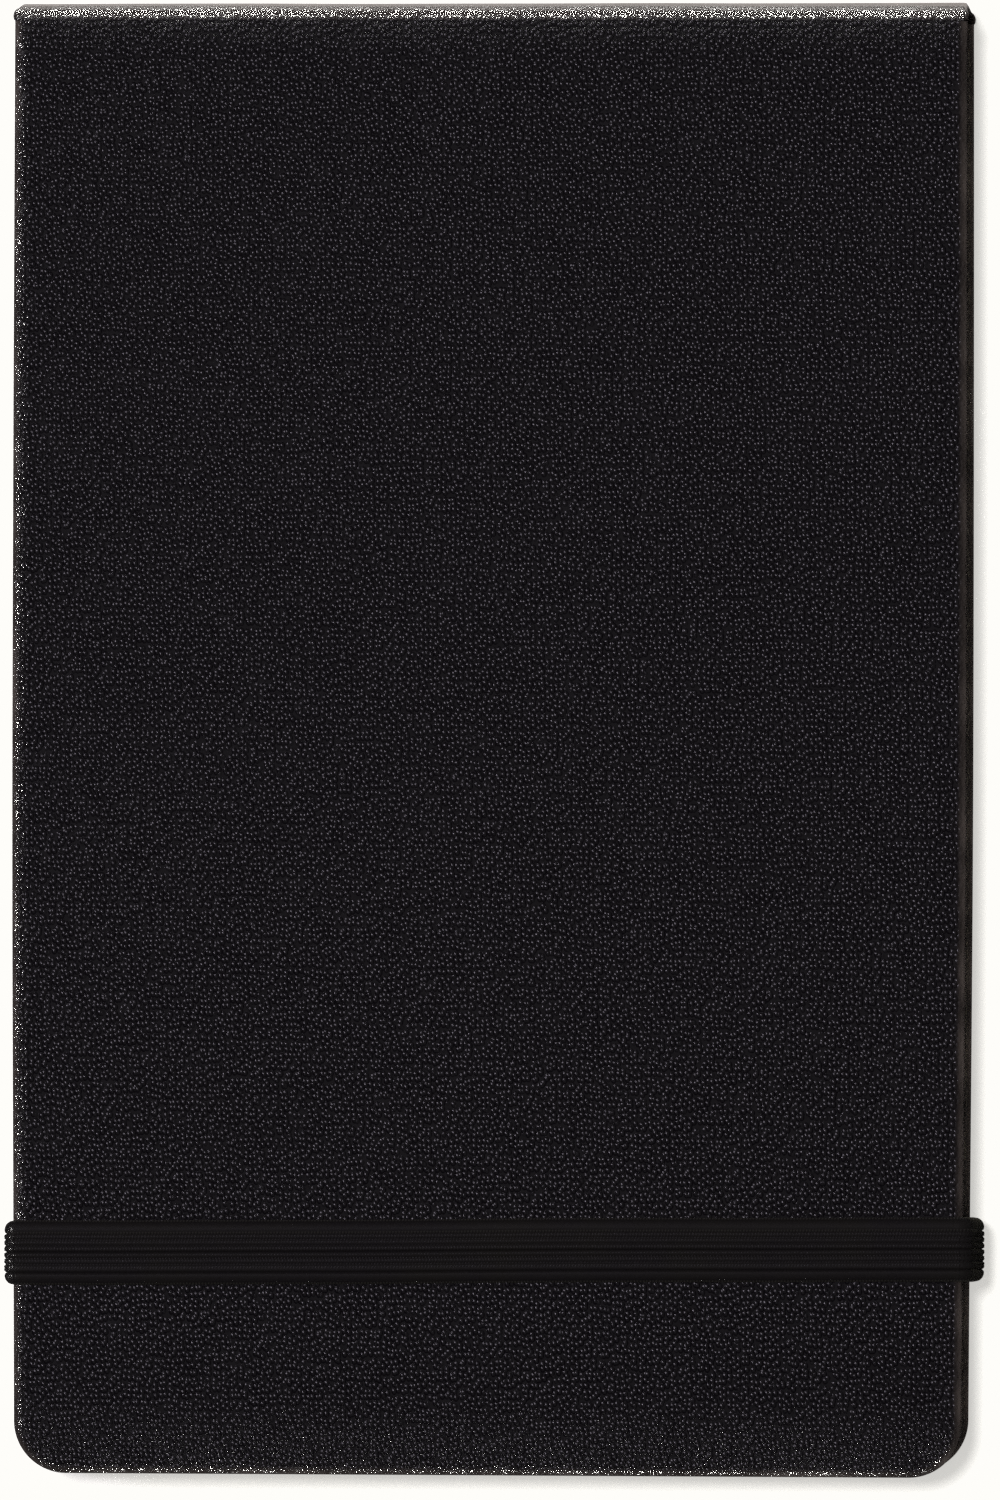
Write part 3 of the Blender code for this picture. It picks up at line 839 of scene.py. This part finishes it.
def make_stitches():
    """Two-ply linen thread, looped from signature to signature behind the folds."""
    for number in range(1, 5):
        node = f"sewing_stitch_{number}"
        low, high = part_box(node)
        middle_x, y = (low.x + high.x) / 2, (low.y + high.y) / 2
        sway = (high.x - low.x) / 2 - 0.14 * MM
        heights = np.linspace(low.z, high.z, 160)
        plies = []
        for turn in (0, pi):
            line = []
            for z in heights:
                along = (z - low.z) / (high.z - low.z)
                x = middle_x + sway * cos(8 * pi * along)
                twist = 2 * pi * (z - low.z) / PLY_PITCH + turn
                line.append((x + PLY_TWIST * cos(twist), y + PLY_TWIST * sin(twist), z))
            plies.append(line)
        piece = tubes(f"{node}_thread", plies, PLY_RADIUS, THREAD_LOOK)
        riding(piece, "text_block", "thread", node)


GAUZE_PITCH = 0.8 * MM


def make_mull():
    """Open gauze over the stitches: threads both ways, passing over and under."""
    low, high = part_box("spine_mull")
    middle_y = (low.y + high.y) / 2
    rise = 0.035 * MM
    xs = np.arange(low.x, high.x, GAUZE_PITCH)
    zs = np.arange(low.z + 0.3 * MM, high.z, GAUZE_PITCH)
    lines = []
    for column, x in enumerate(xs):
        heights = np.linspace(low.z, high.z, 31)
        phase = pi * (heights - zs[0]) / GAUZE_PITCH + pi * column
        lines.append([(x, middle_y + rise * cos(p), z) for p, z in zip(phase, heights)])
    for row, z in enumerate(zs):
        places = np.linspace(low.x, high.x, 3 * len(xs))
        phase = pi * (places - low.x) / GAUZE_PITCH + pi * row + pi
        lines.append([(x, middle_y + rise * cos(p), z) for p, x in zip(phase, places)])
    piece = tubes("spine_mull_gauze", lines, 0.05 * MM, MULL_LOOK, sides=4)
    riding(piece, "text_block", "mull", "spine_mull")


def dress_plain_parts():
    """New finishes for the frame's own board and card."""
    looks = {"front_board": BOARD_LOOK, "back_board": BOARD_LOOK, "spine_card": KRAFT_LOOK}
    for node, look in looks.items():
        give_material(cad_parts[node], look)


# ---- pocket


def make_pocket_panel():
    """The pocket's card front, creased above its bottom fold."""
    low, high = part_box("pocket_panel")
    xs = across(high.x)
    corner_radius = 3 * MM
    crease_y = low.y + 2.4 * MM
    ys = set(np.linspace(low.y, high.y, 44))
    ys |= {crease_y + step * MM for step in (-0.3, -0.15, 0, 0.15, 0.3)}
    ys |= {low.y + corner_radius * (1 - cos(a)) for a in np.linspace(0, pi / 2, 8)}
    rows = []
    for y in sorted(ys):
        half = rounded_half_width(high.x, corner_radius, y - low.y)
        crease = -0.08 * MM * max(0.0, 1 - abs(y - crease_y) / (0.3 * MM))
        rows.append([(x * half / high.x, y, high.z + crease) for x in xs])
    name = "pocket_card_panel"
    piece = make_sheet(name, rows, CARD_LOOK, CARD, (0, 0, 1), offset=-1, crease=35)
    riding(piece, "pocket", "pocket_card", "pocket_panel")


def make_pocket_mouth():
    """Bookcloth folded round the pocket's mouth."""
    _, panel_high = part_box("pocket_panel")
    low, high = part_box("pocket_mouth_cloth")
    outer_z = panel_high.z + CLOTH / 2 + 0.01 * MM
    inner_z = panel_high.z - CARD - CLOTH / 2 - 0.01 * MM
    radius = (outer_z - inner_z) / 2
    path = [(y, outer_z) for y in np.linspace(low.y, high.y, 9)]
    path += arc_points((high.y, (outer_z + inner_z) / 2), radius, pi / 2, -pi / 2, 8)[1:]
    path += [(y, inner_z) for y in np.linspace(high.y, high.y - 3.5 * MM, 5)[1:]]
    piece = strip("pocket_mouth_binding", path, high.x, CLOTH, CLOTH_LOOK, columns=43)
    riding(piece, "pocket", "pocket_cloth", "pocket_mouth_cloth")


def make_pocket_fold():
    """The card where the pocket folds back under itself and is glued to the endpaper."""
    panel_low, panel_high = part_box("pocket_panel")
    _, pasted_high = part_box("back_pastedown")
    low_z = pasted_high.z + 0.14 * MM
    top_z = panel_high.z - CARD / 2
    radius = (top_z - low_z) / 2
    fold_y = panel_low.y + radius
    path = [(y, low_z) for y in np.linspace(fold_y + 9 * MM, fold_y, 6)]
    path += arc_points((fold_y, low_z + radius), radius, 1.5 * pi, 0.5 * pi, 12)[1:]
    piece = strip("pocket_bottom_fold", path, panel_high.x - 3 * MM, 0.2 * MM, CARD_LOOK)
    start, end = (fold_y, low_z + 0.1 * MM), (fold_y, top_z)
    bending(piece, "back_cover", "pocket", start, end, "pocket_card")


def make_gusset(side, sign):
    """A strip of bookcloth folded inwards at a side of the pocket."""
    low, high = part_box(f"pocket_gusset_{side}")
    outer_x, fold_x = max(abs(low.x), abs(high.x)), min(abs(low.x), abs(high.x))
    bottom_z, top_z = low.z + 0.06 * MM, high.z - 0.06 * MM
    radius = (top_z - bottom_z) / 2
    section = [(x, bottom_z) for x in np.linspace(outer_x, fold_x + radius, 6)]
    section += arc_points((fold_x + radius, bottom_z + radius), radius, 1.5 * pi, 0.5 * pi, 10)[1:]
    section += [(x, top_z) for x in np.linspace(fold_x + radius, outer_x, 6)[1:]]
    ys = np.linspace(low.y, high.y, 44)
    rows = [[(sign * x, y, z) for x, z in section] for y in ys]
    piece = make_sheet(f"pocket_gusset_fold_{side}", rows, CLOTH_LOOK, CLOTH)
    start, end = (0, bottom_z + 0.02 * MM), (0, top_z - 0.02 * MM)
    bending(piece, "back_cover", "pocket", start, end, "pocket_cloth", f"pocket_gusset_{side}")


def make_pocket():
    make_pocket_panel()
    make_pocket_mouth()
    make_pocket_fold()
    make_gusset("left", -1)
    make_gusset("right", 1)


# ---- elastic band

BAND_WIDTH = BAND_HIGH.y - BAND_LOW.y
BAND_THICKNESS = BAND_HIGH.z - BAND_LOW.z
RIB_WIDTHS = (1.30, 0.58, 0.58, 0.58, 0.58, 0.58, 0.80, 1.20)  # in mm, from the spine side
EDGE_THREADS = (3.02, 1.86, -2.98)  # places of the paler threads across the band, in mm
RIB_RISE = 0.2 * MM
STITCH = 0.30 * MM  # from stitch to stitch along a rib
STITCH_RISE = 0.1 * MM
EDGE_ROUND = 1.1 * MM  # how far in from each edge the band is rounded
SLOT_X = 30.45 * MM  # where the band goes through the back board
BAND_TILT = radians(0.46)  # the band lies a little askew, and leans on its way to the back
BAND_LEAN = tan(radians(1.9))
RIGHT_BULGE = 0.88 * MM  # how far the band stands off the side of the book
LEFT_BULGE = 0.06 * MM
BAND_STEP = STITCH / 4
FACE_SAMPLES = 62
BACK_SAMPLES = 14


def rib_table():
    """(middle, half width) of each rib across the band, scaled to the band's width."""
    scale = BAND_WIDTH / sum(RIB_WIDTHS)
    table, edge = [], BAND_WIDTH / 2
    for width in RIB_WIDTHS:
        table.append((edge - width * scale / 2, width * scale / 2))
        edge -= width * scale
    return table


def woven_height(along, across_band):
    """Height of the band's face, and its tint, at arrays of places along and across it."""
    height = np.zeros_like(along)
    for number, (middle, half) in enumerate(rib_table()):
        aside = (across_band - middle) / half
        inside = np.abs(aside) <= 1
        selvedge = number in (0, len(RIB_WIDTHS) - 1)
        crown = 1 - np.abs(aside) ** (4 if selvedge else 2.4)
        slant = np.abs(across_band - middle) * (0.9 if number % 2 else -0.9)
        if selvedge:
            slant = (across_band - middle) * 1.3
        rise = STITCH_RISE * (0.55 if selvedge else 1.0)
        stitches = rise * np.sin(pi * (along + slant) / STITCH) ** 2
        if not selvedge:
            stitches *= 1 - 0.8 * np.exp(-((aside / 0.22) ** 2))
        height = np.where(inside, RIB_RISE * crown + stitches * np.minimum(crown * 3, 1), height)
    tint = np.zeros_like(along)
    for place in EDGE_THREADS:
        near = np.exp(-(((across_band - place * MM) / (0.06 * MM)) ** 2))
        height += 0.05 * MM * near * (0.6 + 0.4 * np.sin(2 * pi * along / STITCH))
        tint = np.maximum(tint, near * (0.35 + 0.35 * np.sin(2 * pi * along / STITCH)))
    return height, tint


def woven_strip(name, route, start):
    """The band along a route of (x, z, normal x, normal z), one step apart.

    start is the band's length up to there, from the middle of its front.
    """
    route = np.array(route)
    along = start + BAND_STEP * np.arange(len(route))
    edge = BAND_WIDTH / 2
    bend = drifts(along, 17 * MM, 0.07 * MM, 61)
    stretch = 1 + drifts(along, 23 * MM, 0.012, 67)
    turn = np.linspace(-1, 1, FACE_SAMPLES)
    face_v = edge * (0.35 * np.sin(pi / 2 * turn * 0.999) + 0.65 * turn)
    back_v = np.linspace(-edge, edge, BACK_SAMPLES + 2)[1:-1]
    height, tint = woven_height(*np.meshgrid(along, face_v, indexing="ij"))
    over = np.clip((np.abs(face_v) - (edge - EDGE_ROUND)) / EDGE_ROUND, 0, 1)
    rounding = 0.9 * BAND_THICKNESS * (1 - np.sqrt(1 - over**2))
    body = BAND_THICKNESS / 2 - RIB_RISE - STITCH_RISE
    face_h = body + height - rounding
    back_h = np.full((len(along), BACK_SAMPLES), -BAND_THICKNESS / 2 + 0.02 * MM)
    v = np.concatenate([face_v, back_v[::-1]])[None, :] * stretch[:, None] + bend[:, None]
    h = np.concatenate([face_h, back_h], axis=1)
    x = route[:, 0, None] + h * route[:, 2, None]
    z = route[:, 1, None] + h * route[:, 3, None]
    y = BAND_Y + v + BAND_TILT * x - BAND_LEAN * np.maximum(FRONT_Z - z, 0)
    tints = np.concatenate([tint, np.zeros((len(along), BACK_SAMPLES))], axis=1)
    sections = np.stack([x, y, z], axis=-1)
    return make_swept(name, sections, ELASTIC_LOOK, {"tint": tints}, crease=80)


def even_steps(points):
    """The same line with points one band step apart, each as (x, z, normal x, normal z)."""
    points = np.array(points)
    lengths = np.concatenate([[0], np.cumsum(np.hypot(*np.diff(points, axis=0).T))])
    places = np.arange(0, lengths[-1] + BAND_STEP / 2, BAND_STEP)
    places[-1] = lengths[-1]
    x = np.interp(places, lengths, points[:, 0])
    z = np.interp(places, lengths, points[:, 1])
    along_x, along_z = np.gradient(x, places), np.gradient(z, places)
    size = np.hypot(along_x, along_z)
    return np.stack([x, z, -along_z / size, along_x / size], axis=1)


def side_line(bulge):
    """The middle of the band from the front stretch round the right side to the back.

    It stands off the book by the bulge at mid-height.
    """
    side_low, side_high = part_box("elastic_side_right")
    half = BAND_THICKNESS / 2
    radius = side_high.x - half - BAND_HIGH.x
    top, bottom = side_high.z - half - radius, side_low.z + half + radius
    down = arc_points((BAND_HIGH.x, top), radius, pi / 2, 0, 12)
    down += [(BAND_HIGH.x + radius, z) for z in np.linspace(top, bottom, 12)[1:-1]]
    down += arc_points((BAND_HIGH.x, bottom), radius, 0, -pi / 2, 12)
    start, end = down[0][1], down[-1][1]
    shares = [min(max((start - z) / (start - end), 0), 1) for x, z in down]
    return [(x + bulge * sqrt(abs(sin(pi * share))), z) for (x, z), share in zip(down, shares)]


def end_line():
    """The middle of the band under the back cover, up through its slot and along the glued tab."""
    low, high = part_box("elastic_end_right")
    half = BAND_THICKNESS / 2
    tab_z = high.z - half
    radius = half + 0.04 * MM
    line = [(high.x, low.z + half)]
    line += arc_points((SLOT_X + radius, low.z + half + radius), radius, 1.5 * pi, pi, 8)
    line += arc_points((SLOT_X - radius, tab_z - radius), radius, 0, pi / 2, 8)
    return line + [(low.x, tab_z)]


def mirrored(route):
    """The same line on the left side of the book."""
    return np.array(route) * (-1, 1, -1, 1)


def make_band():
    half_length = BAND_HIGH.x
    middle_z = (BAND_LOW.z + BAND_HIGH.z) / 2
    steps = int(round(2 * half_length / BAND_STEP))
    front = [(x, middle_z, 0, 1) for x in np.linspace(-half_length, half_length, steps + 1)]
    piece = woven_strip("elastic_band_front", front, -half_length)
    riding(piece, "elastic_band", "elastic", "elastic_front")
    end = even_steps(end_line())
    top, bottom = (BAND_Y, FRONT_Z - 0.3 * MM), (BAND_Y, BACK_Z + 0.3 * MM)
    for name, turn, bulge in (("right", np.array, RIGHT_BULGE), ("left", mirrored, LEFT_BULGE)):
        side = even_steps(side_line(bulge))
        side_length = BAND_STEP * (len(side) - 1)
        piece = woven_strip(f"elastic_band_side_{name}", turn(side), half_length)
        bending(piece, "back_cover", "elastic_band", bottom, top, "elastic", f"elastic_side_{name}")
        piece = woven_strip(f"elastic_band_end_{name}", turn(end), half_length + side_length)
        riding(piece, "back_cover", "elastic", f"elastic_end_{name}")


def make_loose_fibre():
    """One fibre that has come loose along the band's spine side."""
    line = []
    for share in np.linspace(0, 1, 24):
        x = -26 * MM + 5 * MM * share
        y = BAND_HIGH.y + 0.10 * MM + 0.22 * MM * sin(pi * share) * (1 - 0.5 * share)
        line.append((x, y, FRONT_Z + 0.45 * MM + 0.15 * MM * sin(2 * pi * share)))
    piece = tubes("elastic_loose_fibre", [line], 0.016 * MM, ELASTIC_LOOK)
    riding(piece, "elastic_band", "elastic")


# ---- room

VIEW_TILT = (radians(4.2), radians(0.5))  # the camera leans to the right and towards the spine
VIEW_ROLL = radians(0.144)
CAMERA_DISTANCE = 2.0
CAMERA_LENS = 501.8
AIM = (0.61 * MM, -0.939 * MM)  # where the camera looks, from the middle of the book
ROOM_STRENGTH = 0.20
SUN_STRENGTH = 1.6
SUN_TILT = (radians(3.2), radians(6.3))  # towards the right and towards the free edge
FLOOR_GLOW = 0.50
EDGE_LIGHT_REACH = 0.2  # from an edge to the strip of light that it mirrors
FLOOR_SIZE = 3.0
WHITE = (0.991, 0.982, 0.947)  # the film's brightest red, green and blue


def make_camera():
    """A long lens above the book, nearly square on."""
    middle = (cad_low + cad_high) / 2
    aim = Vector((middle.x + AIM[0], middle.y + AIM[1], middle.z))
    away = Vector((tan(VIEW_TILT[0]), tan(VIEW_TILT[1]), 1)) * CAMERA_DISTANCE
    data = bpy.data.cameras.new("camera")
    data.lens = CAMERA_LENS
    data.sensor_width = 36
    data.clip_start, data.clip_end = 0.05, 10
    camera = add_object("camera", data)
    right = Vector((0, 1, 0)).cross(away).normalized()
    upwards = away.normalized().cross(right)
    turn = Matrix((right, upwards, away.normalized())).transposed()
    turn = turn @ Matrix.Rotation(VIEW_ROLL, 3, "Z")
    camera.matrix_world = Matrix.Translation(aim + away) @ turn.to_4x4()
    bpy.context.scene.camera = camera


def make_softbox(
    name, position, size, power, color=(1, 1, 1), target=(0, 0, 0), spread=pi, diffuse=True
):
    """A rectangular light that faces the target. Without diffuse it only shows in reflections."""
    data = bpy.data.lights.new(name, "AREA")
    data.shape = "RECTANGLE"
    data.size, data.size_y = size
    data.energy = power
    data.color = color
    data.spread = spread
    lamp = add_object(name, data)
    lamp.location = position
    lamp.rotation_mode = "QUATERNION"
    lamp.rotation_quaternion = (Vector(target) - Vector(position)).to_track_quat("-Z", "Y")
    lamp.visible_diffuse = diffuse
    lamp.visible_camera = False


def make_edge_light(name, target, away, size, power):
    """A narrow strip of light near the book, that only the edge at the target mirrors."""
    position = Vector(target) + Vector(away).normalized() * EDGE_LIGHT_REACH
    make_softbox(name, position, size, power, target=target, spread=radians(1), diffuse=False)


def make_lights():
    """A soft room, a high sun, and lights that the leatherette mirrors."""
    world = bpy.data.worlds.new("room")
    world.use_nodes = True
    back = world.node_tree.nodes["Background"]
    back.inputs["Color"].default_value = (1.0, 0.985, 0.96, 1)
    back.inputs["Strength"].default_value = ROOM_STRENGTH
    bpy.context.scene.world = world
    world.cycles_visibility.glossy = False
    sun = bpy.data.lights.new("overhead", "SUN")
    sun.energy = SUN_STRENGTH
    sun.angle = radians(6)
    overhead = add_object("overhead", sun)
    overhead.rotation_mode = "QUATERNION"
    beam = Vector((tan(SUN_TILT[0]), -tan(SUN_TILT[1]), -1))
    overhead.rotation_quaternion = beam.to_track_quat("-Z", "Y")
    overhead.visible_glossy = False
    violet = (1.05, 0.97, 1.18)
    make_softbox("left_softbox", (-0.52, 0.18, 0.80), (0.12, 0.34), 1.4, violet)
    make_softbox("ceiling", (0, 0, 1.2), (1.6, 1.6), 1.2, (1.0, 0.97, 1.04), diffuse=False)
    beside_left = (-HALF_WIDTH - 2.5 * MM, 0, FRONT_Z)
    make_edge_light("left_strip", beside_left, (-1, 0, 1.35), (0.2, 0.003), 0.019)
    behind_spine = (0, CROWN_Y + 3 * MM, FRONT_Z - 0.5 * MM)
    make_edge_light("spine_strip", behind_spine, (0, 1, 0.29), (0.12, 0.002), 0.085)
    free_edge = (0, FREE_EDGE_Y, FRONT_Z - 0.3 * MM)
    make_edge_light("free_strip", free_edge, (0, -1, 0.6), (0.12, 0.005), 0.0045)
    # The bright ground behind the spine, as the spine's face mirrors it at a grazing angle.
    ground = (0, CROWN_Y + 11 * MM, 0.3 * MM)
    glow_size, above = (2.2 * HALF_WIDTH, 20 * MM), (*ground[:2], 1)
    make_softbox("spine_glow", ground, glow_size, 0.0045, (1.06, 0.97, 0.94), above)


def make_floor():
    """The table, which the leatherette doesn't mirror."""
    ends = (-FLOOR_SIZE / 2, FLOOR_SIZE / 2)
    rows = [[(x, y, 0) for x in ends] for y in ends]
    floor = make_piece("floor", [(rows, [[0, 1, 3, 2]])], floor_material(), towards=(0, 0, 1))
    floor.visible_glossy = False


def set_film():
    """Plain colours with a warm white. There's no denoising, which would wipe out fine grain."""
    bpy.context.scene.cycles.use_denoising = False
    settings = bpy.context.scene.view_settings
    settings.view_transform = "Standard"
    settings.use_curve_mapping = True
    curves = settings.curve_mapping
    curves.use_clip = True
    curves.extend = "HORIZONTAL"
    for channel, white in enumerate(WHITE):
        curves.curves[channel].points[-1].location = (1.0, white)
    curves.update()


make_camera()
make_leatherette()
make_pastedown("front", "front_cover")
make_pastedown("back", "back_cover")
make_front_joint()
make_back_joint()
make_pages()
make_stitches()
make_mull()
dress_plain_parts()
make_pocket()
make_band()
make_loose_fibre()
make_floor()
make_lights()
set_film()
